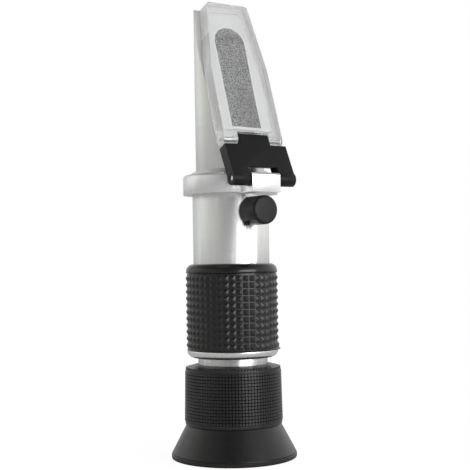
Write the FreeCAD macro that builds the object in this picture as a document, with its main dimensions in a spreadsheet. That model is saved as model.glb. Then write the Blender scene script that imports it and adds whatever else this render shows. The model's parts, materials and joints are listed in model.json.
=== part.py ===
"""Handheld refractometer with a daylight plate, a screwed focus eyepiece and a rubber eyecup.

Units are millimetres. The origin is the centre of the eyecup's rim, where the instrument
stands; +Z runs up the barrel to the prism head, and the front, which carries the hinge and
the calibration screw, faces -Y. In the names below, "front" distances are counted from the
barrel's axis toward the front, and "height" is the height above the rim.
"""
import FreeCAD, Part
import math
import os
import re
import Sketcher

# Driving dimensions
SIZES = {
    # eyecup, a moulded rubber cup
    "rim_radius": 22.2,
    "rim_height": 1.5,
    "rim_edge": 0.4,
    "rim_wall": 1.8,
    "flare_height": 11.6,
    "waist_radius": 16.8,
    "cup_bulge_height": 13.2,
    "cup_bulge_radius": 17.2,
    "cup_edge_height": 31.9,
    "cup_radius": 16.8,
    "cup_top": 33.1,
    "cup_lip_height": 12.4,
    "cup_lip_radius": 13.4,
    # lens barrel inside the eyecup
    "ocular_bottom": 13.0,
    "ocular_top": 30.9,
    "ocular_radius": 14.6,
    "eye_opening_radius": 9.5,
    "ocular_lip": 1.3,
    "ocular_lens_radius": 10.95,
    "ocular_lens_thickness": 4.0,
    "ocular_lens_curve": 22.0,
    "lens_fit": 0.05,
    "field_lens_top": 23.4,
    "ocular_ring_height": 0.5,
    "ocular_ring_bore": 9.5,
    "spacer_wall": 1.0,
    # draw tube that carries the eyepiece
    "draw_radius": 12.3,
    "draw_bore": 10.4,
    "draw_bottom": 24.0,
    "draw_top": 50.0,
    "ring_groove_width": 1.0,
    "groove_gap": 1.8,
    "ring_groove_depth": 1.0,
    "damping_ring_thickness": 0.9,
    "damping_ring_edge": 0.25,
    "focus_lead": 8.0,
    "focus_travel_in": 1.5,
    "focus_travel_out": 2.5,
    "guide_pin_height": 45.0,
    "guide_pin_radius": 1.0,
    "guide_pin_tip": 11.45,
    "guide_slot_depth": 1.1,
    "running_fit": 0.08,
    "seat_fit": 0.02,
    # focus housing with its end ring
    "ring_radius": 16.1,
    "ring_bottom": 35.4,
    "ring_top": 38.0,
    "ring_round": 2.3,
    "housing_radius": 14.3,
    "housing_top": 65.0,
    # studded rubber sleeve and the smooth ring above it
    "stud_crest": 16.5,
    "stud_height": 0.6,
    "stud_rows_start": 38.6,
    "stud_pitch": 2.35,
    "sleeve_lip_radius": 16.2,
    "bull_radius": 16.2,
    "bull_top": 68.3,
    "bull_round": 2.6,
    "bull_groove": 0.3,
    # barrel
    "tube_radius": 13.5,
    "tube_bore": 11.6,
    "tube_bottom": 52.0,
    "tube_top": 97.0,
    # hinge collar and its lug
    "collar_radius": 16.75,
    "collar_overlap": 4.3,
    "collar_rise": 2.6,
    "collar_shoulder": 15.2,
    "collar_cone": 1.6,
    "collar_round": 1.2,
    "lug_half_width": 5.7,
    "lug_front": 23.1,
    "lug_back": 14.5,
    "lug_drop": 0.4,
    "lug_step": 0.8,
    "lug_round": 0.6,
    # hinge
    "hinge_front": 20.5,
    "hinge_depth": 2.0,
    "hinge_pin_radius": 0.95,
    "pin_recess": 0.2,
    "hinge_fit": 0.05,
    "bracket_angle": 26.0,
    "bracket_half_width": 12.4,
    "bracket_thickness": 3.9,
    "knuckle_radius": 2.4,
    "shoulder_gap": 0.6,
    "knuckle_clearance": 0.4,
    "web_rise": 4.1,
    "tab_half_width": 6.05,
    "tab_rise": 0.9,
    "tab_chamfer": 0.3,
    "pin_boss_radius": 1.6,
    # daylight plate
    "plate_angle": 18.3,
    "plate_pin_front": 13.2,
    "plate_pin_rise": 13.8,
    "plate_pin_radius": 0.6,
    "plate_thickness": 5.2,
    "plate_length": 51.8,
    "plate_low_half": 11.85,
    "plate_middle_half": 11.5,
    "plate_middle": 26.5,
    "plate_top_half": 8.4,
    "plate_web": 4.5,
    "plate_wall": 1.6,
    "plate_end_wall": 2.2,
    "tray_start": 3.9,
    "notch_gap": 0.34,
    "notch_height": 1.9,
    "plate_corner": 0.7,
    "plate_gap": 0.1,
    "window_half_width": 5.9,
    "window_start": 5.2,
    "window_end": 43.7,
    "window_thickness": 0.5,
    "film_gap": 0.1,
    # prism head
    "head_radius": 12.1,
    "head_length": 61.3,
    "spigot_radius": 11.55,
    "spigot_length": 5.5,
    "light_bore": 6.4,
    "prism_half_width": 5.2,
    "prism_start": 5.9,
    "prism_end": 38.5,
    "prism_side_depth": 2.2,
    "prism_tip_depth": 3.0,
    "exit_rise": 1.4,
    "prism_exit_front": 7.5,
    "prism_back": 7.0,
    "prism_fit": 0.15,
    "seal_width": 0.4,
    # calibration screw, its bush and its rubber cap
    "screw_drop": 10.6,
    "bush_radius": 2.3,
    "bush_inner_end": 10.7,
    "bush_flange_radius": 3.3,
    "bush_flange_back": 13.55,
    "bush_flange_front": 14.8,
    "screw_head_radius": 2.3,
    "screw_head_back": 14.9,
    "screw_head_front": 16.9,
    "screw_shank_radius": 1.4,
    "screw_shank_end": 10.6,
    "screw_tip_radius": 1.0,
    "screw_tip_end": 6.5,
    "screw_slot_width": 0.6,
    "screw_slot_depth": 0.8,
    "clip_radius": 2.0,
    "clip_thickness": 0.5,
    "cap_radius": 4.95,
    "cap_front": 22.6,
    "cap_bore": 3.4,
    "cap_floor": 2.8,
    "cap_round": 1.0,
    "cap_barrel_gap": 0.3,
    "cap_tab_reach": 5.25,
    "cap_tab_half": 0.6,
    "cap_tab_front": 15.6,
    "cap_tab_angle": 30.0,
    # objective carriage, moved by the calibration screw
    "guide_ring_thickness": 3.0,
    "guide_ring_drop": 4.9,
    "guide_ring_bore": 5.5,
    "rail_inner": 6.6,
    "rail_width": 2.0,
    "rail_height": 0.9,
    "rail_fit": 0.06,
    "carriage_radius": 10.6,
    "carriage_thickness": 2.0,
    "carriage_lift": 0.05,
    "post_half_width": 2.4,
    "post_rise": 2.8,
    "nut_back": 6.0,
    "nut_front": 9.3,
    "post_depth": 2.2,
    "strip_radius": 7.1,
    "strip_thickness": 0.4,
    "strip_drop": 1.9,
    "strip_width": 4.0,
    "strip_opening": 35.0,
    "cell_radius": 5.7,
    "cell_drop": 0.3,
    "cell_rise": 0.4,
    "cell_lip": 0.7,
    "objective_radius": 4.9,
    "objective_thickness": 3.2,
    "objective_curve": 14.0,
    "strip_screw_radius": 0.6,
    "strip_screw_angle": 44.0,
    # fixed pieces inside the barrel
    "inner_fit": 0.05,
    "stop_thickness": 0.8,
    "stop_drop": 0.1,
    "stop_bore": 4.5,
    "baffle_share": 0.54054,
    "baffle_thickness": 1.2,
    "baffle_bore": 6.5,
    "reticle_cell_height": 6.0,
    "reticle_cell_seat": 8.0,
    "reticle_cell_bore": 8.8,
    "reticle_ledge": 1.3,
    "reticle_radius": 10.0,
    "reticle_thickness": 1.5,
    "reticle_ring_height": 1.4,
    "cell_screw_radius": 1.0,
    "cell_screw_drop": 1.4,
    "cell_screw_tip": 10.9,
}

# How many studs the sleeve has along and round the barrel
STUD_ROWS = 11
STUD_COLUMNS = 43
CELL_SCREWS = 3
# Where an outline's corners start out, before the sheet's sizes pull them into place
SKETCH_SPREAD = 10

# Heights that follow another one: their name, where they start, up or down, and by which size
HEIGHTS = (
    ("collar_bottom", "tube_top", -1, "collar_overlap"),
    ("collar_top", "tube_top", 1, "collar_rise"),
    ("collar_cone_top", "collar_top", 1, "collar_cone"),
    ("lug_bottom", "collar_bottom", -1, "lug_drop"),
    ("lug_top", "collar_top", -1, "lug_step"),
    ("hinge_height", "lug_top", -1, "hinge_depth"),
    ("web_height", "hinge_height", 1, "web_rise"),
    ("plate_pin_height", "hinge_height", 1, "plate_pin_rise"),
    ("head_top", "tube_top", 1, "head_length"),
    ("spigot_bottom", "tube_top", -1, "spigot_length"),
    ("prism_exit_height", "plate_pin_height", 1, "exit_rise"),
    ("screw_height", "tube_top", -1, "screw_drop"),
    ("guide_ring_top", "screw_height", -1, "guide_ring_drop"),
    ("guide_ring_bottom", "guide_ring_top", -1, "guide_ring_thickness"),
    ("post_top", "screw_height", 1, "post_rise"),
    ("strip_low", "screw_height", -1, "strip_drop"),
    ("strip_high", "strip_low", 1, "strip_width"),
    ("cell_low", "strip_low", -1, "cell_drop"),
    ("cell_high", "strip_high", 1, "cell_rise"),
    ("stop_top", "spigot_bottom", -1, "stop_drop"),
    ("stop_bottom", "stop_top", -1, "stop_thickness"),
    ("reticle_cell_top", "tube_bottom", 1, "reticle_cell_seat"),
    ("reticle_cell_bottom", "reticle_cell_top", -1, "reticle_cell_height"),
    ("cell_screw_height", "reticle_cell_top", -1, "cell_screw_drop"),
)

# Sizes worked out from the driving dimensions
S = dict(SIZES)
for name, start, way, size in HEIGHTS:
    S[name] = S[start] + way * S[size]
baffle_room = S["guide_ring_bottom"] - S["reticle_cell_top"]
S["baffle_height"] = S["reticle_cell_top"] + S["baffle_share"] * baffle_room
PLATE_TILT = math.radians(S["plate_angle"])
BRACKET_TILT = math.radians(S["bracket_angle"])


def plate_point(along, proud):
    """Front distance and height of a point of the plate's own frame, whose origin is its pin."""
    front = S["plate_pin_front"] - along * math.sin(PLATE_TILT) + proud * math.cos(PLATE_TILT)
    height = S["plate_pin_height"] + along * math.cos(PLATE_TILT) + proud * math.sin(PLATE_TILT)
    return front, height


def bracket_frame(front, height):
    """Place of a point in the bracket's own frame: along it from the hinge pin, and proud of it."""
    across = front - S["hinge_front"]
    up = height - S["hinge_height"]
    along = -across * math.sin(BRACKET_TILT) + up * math.cos(BRACKET_TILT)
    proud = across * math.cos(BRACKET_TILT) + up * math.sin(BRACKET_TILT)
    return along, proud


half_plate = S["plate_thickness"] / 2
S["tray_floor"] = half_plate - S["plate_web"]
S["window_back"] = S["tray_floor"] - S["window_thickness"]
S["prism_face"] = S["window_back"] - S["film_gap"]
S["bed_level"] = -half_plate - S["plate_gap"]
S["seal_height"] = S["prism_face"] - S["bed_level"]
S["pin_along"], S["pin_proud"] = bracket_frame(S["plate_pin_front"], S["plate_pin_height"])
S["shoulder_along"] = S["pin_along"] - half_plate - S["shoulder_gap"]
S["tab_along"] = S["pin_along"] + S["tab_rise"]
S["hinge_pin_length"] = 2 * (S["bracket_half_width"] - S["pin_recess"])
S["plate_pin_length"] = 2 * (S["plate_low_half"] - S["pin_recess"])
S["cap_skirt"] = S["tube_radius"] + S["cap_barrel_gap"]


def store_corners(prefix, points):
    """Keep worked-out outline corners of front distance and height among the sizes."""
    for letter, (front, height) in zip("abcdefgh", points):
        S[f"{prefix}_y_{letter}"] = -front
        S[f"{prefix}_z_{letter}"] = height


def prism_corners(grow):
    """The prism's side outline, larger all round by grow; its exit face keeps its height."""
    start = S["prism_start"] - grow
    end = S["prism_end"] + grow
    face = S["prism_face"]
    return [
        plate_point(start, face),
        plate_point(end, face),
        plate_point(end, face - S["prism_tip_depth"] - grow),
        (-S["prism_back"] - grow, S["prism_exit_height"]),
        (S["prism_exit_front"] + grow, S["prism_exit_height"]),
        plate_point(start, face - S["prism_side_depth"]),
    ]


store_corners("prism", prism_corners(0))
nest = prism_corners(S["prism_fit"])
nest[0] = plate_point(S["prism_start"] - S["prism_fit"], S["plate_web"])
nest[1] = plate_point(S["prism_end"] + S["prism_fit"], S["plate_web"])
store_corners("nest", nest)
slope_low = plate_point(-2 * S["head_radius"], S["bed_level"])
slope_high = plate_point(S["plate_length"] + 2 * S["head_radius"], S["bed_level"])
store_corners("slope", [slope_low, slope_high, (slope_low[0], slope_high[1])])

# The slanted top of the gap between the bracket's knuckles, level once the bracket is tilted
gap_rise = S["web_height"] - S["hinge_height"]
for word, proud in (("gap_front", S["bracket_thickness"]), ("gap_back", -S["bracket_thickness"])):
    S[word] = (gap_rise - proud * math.sin(BRACKET_TILT)) / math.cos(BRACKET_TILT)

# Where the spacer's inner edge touches the lenses, from the sag of their curved faces
spacer_bore = S["ocular_lens_radius"] - S["spacer_wall"]
ocular_sag = S["ocular_lens_curve"] - math.sqrt(S["ocular_lens_curve"] ** 2 - spacer_bore ** 2)
S["eye_lens_flat"] = S["ocular_bottom"] + S["ocular_lip"] + S["lens_fit"]
S["spacer_seat"] = S["ocular_lens_thickness"] - ocular_sag

# The guide slot's arc on the draw tube, with room for the pin at both ends
TURN_IN = 360 * S["focus_travel_in"] / S["focus_lead"]
TURN_OUT = 360 * S["focus_travel_out"] / S["focus_lead"]
PIN_ROOM = 2 + math.degrees(S["guide_pin_radius"] / S["draw_radius"])
GUIDE_PIN_AZIMUTH = 90.0
S["slot_rise"] = (TURN_IN + TURN_OUT + 2 * PIN_ROOM) * S["focus_lead"] / 360
S["slot_start"] = S["guide_pin_height"] - (TURN_IN + PIN_ROOM) * S["focus_lead"] / 360
slot_mouth = S["slot_start"] - S["guide_pin_radius"] - S["running_fit"]
S["ring_groove_height"] = slot_mouth - S["groove_gap"] - S["ring_groove_width"]

# How far the carriage's rails may reach to stay inside its round outline
S["rail_reach"] = math.sqrt(S["carriage_radius"] ** 2 - (S["rail_inner"] + S["rail_width"]) ** 2)

doc = FreeCAD.newDocument("handheld_refractometer")
sheet = doc.addObject("Spreadsheet::Sheet", "Sizes")
for row, (alias, value) in enumerate(S.items(), start=1):
    sheet.set(f"A{row}", alias)
    sheet.set(f"B{row}", repr(value))
    sheet.setAlias(f"B{row}", alias)
doc.recompute()

V = FreeCAD.Vector
nodes = []


def bind(thing, name, formula):
    """Tie a property to a formula of the sheet's aliases."""
    thing.setExpression(name, re.sub(r"[a-z][a-z_]+", r"Sizes.\g<0>", formula))


def plane_of(body, role):
    """The body's own origin plane or axis of that role."""
    return next(feature for feature in body.Origin.OriginFeatures if feature.Role == role)


def new_body(label, node=True):
    """An empty body, which is a piece of the instrument unless it only helps to make one."""
    body = doc.addObject("PartDesign::Body", label)
    body.Label = label
    if node:
        nodes.append(body)
    return body


def new_sketch(body, name, role, shift=None):
    """A sketch on one of the body's origin planes, moved along the plane's normal by shift."""
    sketch = body.newObject("Sketcher::SketchObject", f"{body.Label}_{name}")
    sketch.AttachmentSupport = [(plane_of(body, role), "")]
    sketch.MapMode = "FlatFace"
    if shift is not None:
        bind(sketch, "AttachmentOffset.Base.z", shift)
    return sketch


def outline(body, name, role, corners, shift=None):
    """A closed outline whose corners are pairs of formulas, each bound to the sheet."""
    sketch = new_sketch(body, name, role, shift)
    count = len(corners)
    spots = []
    for k in range(count):
        turn = 2 * math.pi * k / count
        spots.append(V(SKETCH_SPREAD * math.cos(turn), SKETCH_SPREAD * math.sin(turn), 0))
    for k in range(count):
        sketch.addGeometry(Part.LineSegment(spots[k], spots[(k + 1) % count]), False)
    for k in range(count):
        sketch.addConstraint(Sketcher.Constraint("Coincident", k, 2, (k + 1) % count, 1))
    for k, pair in enumerate(corners):
        for kind, formula, start in zip(("DistanceX", "DistanceY"), pair, (spots[k].x, spots[k].y)):
            index = sketch.addConstraint(Sketcher.Constraint(kind, -1, 1, k, 1, start))
            bind(sketch, f"Constraints[{index}]", formula)
    return sketch


def circle(body, name, role, across, up, radius, shift=None):
    """A circle whose centre and radius are formulas bound to the sheet."""
    sketch = new_sketch(body, name, role, shift)
    sketch.addGeometry(Part.Circle(V(1, 1, 0), V(0, 0, 1), 1), False)
    for kind, formula in (("DistanceX", across), ("DistanceY", up)):
        index = sketch.addConstraint(Sketcher.Constraint(kind, -1, 1, 0, 3, 1.0))
        bind(sketch, f"Constraints[{index}]", formula)
    index = sketch.addConstraint(Sketcher.Constraint("Radius", 0, 1.0))
    bind(sketch, f"Constraints[{index}]", radius)
    return sketch


def revolve(body, sketch):
    """Turn a sketch of the XZ plane once round the body's Z axis."""
    feature = body.newObject("PartDesign::Revolution", f"{sketch.Name}_turn")
    feature.Profile = sketch
    feature.ReferenceAxis = (sketch, ["V_Axis"])
    feature.Angle = 360
    sketch.Visibility = False
    return feature


def pad(body, sketch, length, both=True, reverse=False):
    """Pad a sketch by a formula, half to each side when both is true."""
    feature = body.newObject("PartDesign::Pad", f"{sketch.Name}_pad")
    feature.Profile = sketch
    feature.Midplane = both
    feature.Reversed = reverse
    bind(feature, "Length", length)
    return feature


def pocket(body, sketch, length=None, both=True, reverse=False):
    """Cut a sketch out of the body, right through where no length is given."""
    before = body.Shape.Volume
    feature = body.newObject("PartDesign::Pocket", f"{sketch.Name}_cut")
    feature.Profile = sketch
    feature.Midplane = both
    feature.Reversed = reverse
    if length is None:
        feature.Type = "ThroughAll"
    else:
        bind(feature, "Length", length)
    doc.recompute()
    if before - body.Shape.Volume < 1e-6:
        raise RuntimeError(f"{feature.Name} cuts nothing")
    return feature


def ring_edges(body, radius, height):
    """Names of the body's round edges of that radius about Z at that height."""
    doc.recompute()
    found = []
    for number, edge in enumerate(body.Shape.Edges, start=1):
        curve = edge.Curve
        if not isinstance(curve, Part.Circle) or abs(abs(curve.Axis.z) - 1) > 1e-6:
            continue
        centre = body.Placement.inverse().multVec(curve.Center)
        if abs(curve.Radius - radius) < 1e-4 and abs(centre.z - height) < 1e-4:
            found.append(f"Edge{number}")
    return found


def soften(body, edges, size, kind="Fillet"):
    """Round or chamfer the named edges of the body's last feature."""
    feature = body.newObject(f"PartDesign::{kind}", f"{body.Label}_{kind.lower()}{len(body.Group)}")
    feature.Base = (body.Tip if body.Tip != feature else body.Group[-2], edges)
    bind(feature, "Radius" if kind == "Fillet" else "Size", size)
    doc.recompute()
    return feature


def turned(label, corners, node=True):
    """A piece turned on the lathe, from its outline of radius and height formulas."""
    body = new_body(label, node)
    revolve(body, outline(body, "outline", "XZ_Plane", corners))
    doc.recompute()
    return body


def turn_to_front(body, height):
    """Stand a piece that was drawn along Z so that it points to the front at that height."""
    body.Placement = FreeCAD.Placement(V(0, 0, height), FreeCAD.Rotation(V(1, 0, 0), 90))


def tilt_with_plate(body):
    """Put a piece that was drawn in the plate's frame at the plate's pin."""
    spin = FreeCAD.Rotation(V(1, 0, 0), -S["plate_angle"])
    body.Placement = FreeCAD.Placement(V(0, -S["plate_pin_front"], S["plate_pin_height"]), spin)


def cross_pin(label, radius, length, front, height):
    """A plain pin across the instrument, centred on its middle plane."""
    pin = doc.addObject("Part::Cylinder", label)
    pin.Label = label
    bind(pin, "Radius", radius)
    bind(pin, "Height", length)
    spin = FreeCAD.Rotation(V(0, 1, 0), 90)
    doc.recompute()
    pin.Placement = FreeCAD.Placement(V(-pin.Height.Value / 2, -front, height), spin)
    nodes.append(pin)
    return pin


def bore_out(body, name, role, across, up, radius):
    """A round hole right through the body, across the plane of that role."""
    return pocket(body, circle(body, name, role, across, up, radius))


def radial_hole(body, name, height, radius, toward_front=True):
    """A round hole through one wall of a tube, toward the front or the back."""
    sketch = circle(body, name, "XZ_Plane", "0", height, radius)
    return pocket(body, sketch, both=False, reverse=toward_front)


def make_eyecup():
    """Rubber cup: flared rim to stand on, textured cylinder, coned top round the draw tube."""
    turned("eyecup", [
        ("rim_radius - rim_wall", "0"),
        ("rim_radius - rim_edge", "0"),
        ("rim_radius", "rim_edge"),
        ("rim_radius", "rim_height"),
        ("waist_radius", "flare_height"),
        ("cup_bulge_radius", "cup_bulge_height"),
        ("cup_radius", "cup_edge_height"),
        ("draw_radius + seat_fit", "cup_top"),
        ("draw_radius + seat_fit", "ocular_top + seat_fit"),
        ("ocular_radius + seat_fit", "ocular_top + seat_fit"),
        ("ocular_radius + seat_fit", "ocular_bottom"),
        ("cup_lip_radius", "ocular_bottom"),
        ("cup_lip_radius", "cup_lip_height"),
        ("rim_radius - rim_wall", "rim_height"),
    ])


def make_ocular_barrel():
    """Black lens barrel, bonded in the eyecup and screwed onto the draw tube."""
    turned("ocular_barrel", [
        ("eye_opening_radius", "ocular_bottom"),
        ("ocular_radius", "ocular_bottom"),
        ("ocular_radius", "ocular_top"),
        ("draw_radius + seat_fit", "ocular_top"),
        ("draw_radius + seat_fit", "draw_bottom"),
        ("ocular_lens_radius + lens_fit", "draw_bottom"),
        ("ocular_lens_radius + lens_fit", "ocular_bottom + ocular_lip"),
        ("eye_opening_radius", "ocular_bottom + ocular_lip"),
    ])


def plano_convex(label, flat, bulge_up):
    """A lens with one flat face at a height and one curved face above or below it."""
    disc = doc.addObject("Part::Cylinder", f"{label}_disc")
    bind(disc, "Radius", "ocular_lens_radius")
    bind(disc, "Height", "ocular_lens_thickness")
    ball = doc.addObject("Part::Sphere", f"{label}_ball")
    bind(ball, "Radius", "ocular_lens_curve")
    doc.recompute()
    thickness = disc.Height.Value
    low = flat if bulge_up else flat - thickness
    centre = low + thickness - ball.Radius.Value if bulge_up else low + ball.Radius.Value
    disc.Placement.Base = V(0, 0, low)
    ball.Placement.Base = V(0, 0, centre)
    lens = doc.addObject("Part::Common", label)
    lens.Base = disc
    lens.Tool = ball
    lens.Label = label
    nodes.append(lens)


def make_ocular_lenses():
    """Two plano-convex lenses, curved faces together, with a spacer and a retaining ring."""
    plano_convex("eye_lens", S["eye_lens_flat"], True)
    plano_convex("field_lens", S["field_lens_top"], False)
    spacer_bottom = "eye_lens_flat + spacer_seat + lens_fit"
    spacer_top = "field_lens_top - spacer_seat - lens_fit"
    turned("lens_spacer", [
        ("ocular_lens_radius - spacer_wall", spacer_bottom),
        ("ocular_lens_radius", spacer_bottom),
        ("ocular_lens_radius", spacer_top),
        ("ocular_lens_radius - spacer_wall", spacer_top),
    ])
    turned("ocular_ring", [
        ("ocular_ring_bore", "field_lens_top + lens_fit"),
        ("ocular_lens_radius", "field_lens_top + lens_fit"),
        ("ocular_lens_radius", "field_lens_top + lens_fit + ocular_ring_height"),
        ("ocular_ring_bore", "field_lens_top + lens_fit + ocular_ring_height"),
    ])


def make_draw_tube():
    """Silver tube with a ring groove and the helical slot that the guide pin runs in."""
    body = turned("draw_tube", [
        ("draw_bore", "draw_bottom"),
        ("draw_radius", "draw_bottom"),
        ("draw_radius", "ring_groove_height"),
        ("draw_radius - ring_groove_depth", "ring_groove_height"),
        ("draw_radius - ring_groove_depth", "ring_groove_height + ring_groove_width"),
        ("draw_radius", "ring_groove_height + ring_groove_width"),
        ("draw_radius", "draw_top"),
        ("draw_bore", "draw_top"),
    ])
    plain = body.Shape.Volume
    low = "slot_start - guide_pin_radius - running_fit"
    high = "slot_start + guide_pin_radius + running_fit"
    mouth = outline(body, "slot", "XZ_Plane", [
        ("draw_radius - guide_slot_depth", low),
        ("draw_radius + guide_slot_depth", low),
        ("draw_radius + guide_slot_depth", high),
        ("draw_radius - guide_slot_depth", high),
    ])
    slot = body.newObject("PartDesign::SubtractiveHelix", "draw_tube_slot_cut")
    slot.Profile = mouth
    slot.ReferenceAxis = (mouth, ["V_Axis"])
    slot.Mode = 0
    bind(slot, "Pitch", "focus_lead")
    bind(slot, "Height", "slot_rise")
    doc.recompute()
    if plain - body.Shape.Volume < 1:
        raise RuntimeError("the guide slot cuts nothing")
    slot_azimuth = GUIDE_PIN_AZIMUTH - TURN_IN - PIN_ROOM
    body.Placement = FreeCAD.Placement(V(0, 0, 0), FreeCAD.Rotation(V(0, 0, 1), slot_azimuth))


def make_damping_ring():
    """Rubber ring in the draw tube's groove, which makes the focus run stiffly."""
    inner = "draw_radius - damping_ring_thickness"
    low = "ring_groove_height + (ring_groove_width - damping_ring_thickness) / 2"
    high = "ring_groove_height + (ring_groove_width + damping_ring_thickness) / 2"
    turned("damping_ring", [
        (f"{inner} + damping_ring_edge", low),
        ("draw_radius - damping_ring_edge", low),
        ("draw_radius", f"{low} + damping_ring_edge"),
        ("draw_radius", f"{high} - damping_ring_edge"),
        ("draw_radius - damping_ring_edge", high),
        (f"{inner} + damping_ring_edge", high),
        (inner, f"{high} - damping_ring_edge"),
        (inner, f"{low} + damping_ring_edge"),
    ])


def make_focus_housing():
    """Aluminium sleeve that joins barrel and eyepiece, with the quarter-round end ring."""
    body = turned("focus_housing", [
        ("draw_radius + running_fit", "ring_bottom"),
        ("ring_radius", "ring_bottom"),
        ("ring_radius", "ring_top"),
        ("housing_radius", "ring_top"),
        ("housing_radius", "housing_top"),
        ("tube_radius + seat_fit", "housing_top"),
        ("tube_radius + seat_fit", "tube_bottom"),
        ("draw_radius + running_fit", "tube_bottom"),
    ])
    soften(body, ring_edges(body, S["ring_radius"], S["ring_bottom"]), "ring_round")
    radial_hole(body, "pin_hole", "guide_pin_height", "guide_pin_radius", toward_front=False)


def make_guide_pin():
    """Pin in the housing's back wall; its tip runs in the draw tube's slot."""
    pin = turned("guide_pin", [
        ("0", "guide_pin_tip"),
        ("guide_pin_radius", "guide_pin_tip"),
        ("guide_pin_radius", "housing_radius - inner_fit"),
        ("0", "housing_radius - inner_fit"),
    ])
    pin.Placement = FreeCAD.Placement(V(0, 0, S["guide_pin_height"]), FreeCAD.Rotation(V(1, 0, 0), -90))


def stud_faces(left, right, row):
    """The four faces of one pyramid stud, between two directions round the barrel."""
    root = S["stud_crest"] - S["stud_height"]
    low = S["stud_rows_start"] + S["stud_pitch"] * row
    high = low + S["stud_pitch"]
    tip = sleeve_point((left + right) / 2, S["stud_crest"], (low + high) / 2)
    base = [
        sleeve_point(left, root, low),
        sleeve_point(right, root, low),
        sleeve_point(right, root, high),
        sleeve_point(left, root, high),
    ]
    return [flat_face([base[k], base[(k + 1) % 4], tip]) for k in range(4)]


def sleeve_point(turn, radius, height):
    """A point of the sleeve's skin, in a direction round the barrel."""
    return V(radius * math.sin(turn), -radius * math.cos(turn), height)


def flat_face(corners):
    """A flat face between those corners."""
    return Part.Face(Part.makePolygon(corners + corners[:1]))


def make_grip_sleeve():
    """Rubber sleeve with rows of pyramid studs, a plain band above them and a lip below."""
    root = S["stud_crest"] - S["stud_height"]
    studs_end = S["stud_rows_start"] + S["stud_pitch"] * STUD_ROWS
    bands = (
        (S["ring_top"], S["sleeve_lip_radius"], S["stud_rows_start"], root),
        (studs_end, root, S["housing_top"], root),
    )
    faces = []
    turns = [2 * math.pi * number / STUD_COLUMNS for number in range(STUD_COLUMNS + 1)]
    for left, right in zip(turns, turns[1:]):
        for low, low_radius, high, high_radius in bands:
            faces.append(flat_face([
                sleeve_point(left, low_radius, low),
                sleeve_point(right, low_radius, low),
                sleeve_point(right, high_radius, high),
                sleeve_point(left, high_radius, high),
            ]))
        for row in range(STUD_ROWS):
            faces.extend(stud_faces(left, right, row))
    for radius, height in ((S["sleeve_lip_radius"], S["ring_top"]), (root, S["housing_top"])):
        faces.append(flat_face([sleeve_point(turn, radius, height) for turn in turns[:-1]]))
    skin = Part.Compound(faces)
    skin.sewShape()
    blank = doc.addObject("Part::Feature", "sleeve_blank")
    blank.Shape = Part.Solid(Part.Shell(skin.Faces))

    bore = doc.addObject("Part::Cylinder", "sleeve_bore")
    bind(bore, "Radius", "housing_radius + seat_fit")
    bind(bore, "Height", "2 * housing_top")
    sleeve = doc.addObject("Part::Cut", "grip_sleeve")
    sleeve.Base = blank
    sleeve.Tool = bore
    sleeve.Label = "grip_sleeve"
    nodes.append(sleeve)


def make_grip_ring():
    """Smooth black ring with a bullnose edge, above the studded sleeve."""
    body = turned("grip_ring", [
        ("tube_radius + seat_fit", "housing_top"),
        ("bull_radius - bull_groove", "housing_top"),
        ("bull_radius", "housing_top + bull_groove"),
        ("bull_radius", "bull_top"),
        ("tube_radius + seat_fit", "bull_top"),
    ])
    soften(body, ring_edges(body, S["bull_radius"], S["bull_top"]), "bull_round")


def make_main_tube():
    """Barrel, drilled for the calibration bush and for the reticle cell's screws."""
    body = turned("main_tube", [
        ("tube_bore", "tube_bottom"),
        ("tube_radius", "tube_bottom"),
        ("tube_radius", "tube_top"),
        ("tube_bore", "tube_top"),
    ])
    radial_hole(body, "bush_hole", "screw_height", "bush_radius + seat_fit")
    hole = radial_hole(body, "cell_hole", "cell_screw_height", "cell_screw_radius + seat_fit")
    pattern = body.newObject("PartDesign::PolarPattern", "main_tube_cell_holes")
    pattern.Originals = [hole]
    pattern.Axis = (plane_of(body, "Z_Axis"), [""])
    pattern.Angle = 360
    pattern.Occurrences = CELL_SCREWS
    body.Tip = pattern


def make_hinge_collar():
    """Silver collar round the barrel's top, with the lug that holds the hinge pin."""
    body = turned("hinge_collar", [
        ("tube_radius + seat_fit", "collar_bottom"),
        ("collar_radius", "collar_bottom"),
        ("collar_radius", "collar_top"),
        ("collar_shoulder", "collar_top"),
        ("head_radius + seat_fit", "collar_cone_top"),
        ("head_radius + seat_fit", "tube_top"),
        ("tube_radius + seat_fit", "tube_top"),
    ])
    soften(body, ring_edges(body, S["collar_radius"], S["collar_top"]), "collar_round")
    lug = outline(body, "lug", "YZ_Plane", [
        ("-lug_back", "lug_bottom"),
        ("-lug_front", "lug_bottom"),
        ("-lug_front", "lug_top - lug_round"),
        ("-lug_front + lug_round", "lug_top"),
        ("-lug_back", "lug_top"),
    ])
    pad(body, lug, "2 * lug_half_width")
    doc.recompute()
    bore_out(body, "pin_hole", "YZ_Plane", "-hinge_front", "hinge_height", "hinge_pin_radius")


def stored(prefix, count):
    """Formulas of the corners that were stored under that prefix."""
    return [(f"{prefix}_y_{letter}", f"{prefix}_z_{letter}") for letter in "abcdefgh"[:count]]


def make_prism_housing():
    """Prism head: a round post cut off along the slope that the prism lies in."""
    body = turned("prism_housing", [
        ("light_bore", "spigot_bottom"),
        ("spigot_radius", "spigot_bottom"),
        ("spigot_radius", "tube_top"),
        ("head_radius", "tube_top"),
        ("head_radius", "head_top"),
        ("0", "head_top"),
        ("0", "prism_exit_height"),
        ("light_bore", "prism_exit_height"),
    ])
    pocket(body, outline(body, "slope", "YZ_Plane", stored("slope", 3)))
    pocket(body, outline(body, "nest", "YZ_Plane", stored("nest", 6)), "2 * (prism_half_width + prism_fit)")


def make_prism():
    """Measuring prism: a glass wedge with its polished face outward and its exit face down."""
    body = new_body("measuring_prism")
    pad(body, outline(body, "side", "YZ_Plane", stored("prism", 6)), "2 * prism_half_width")


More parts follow.
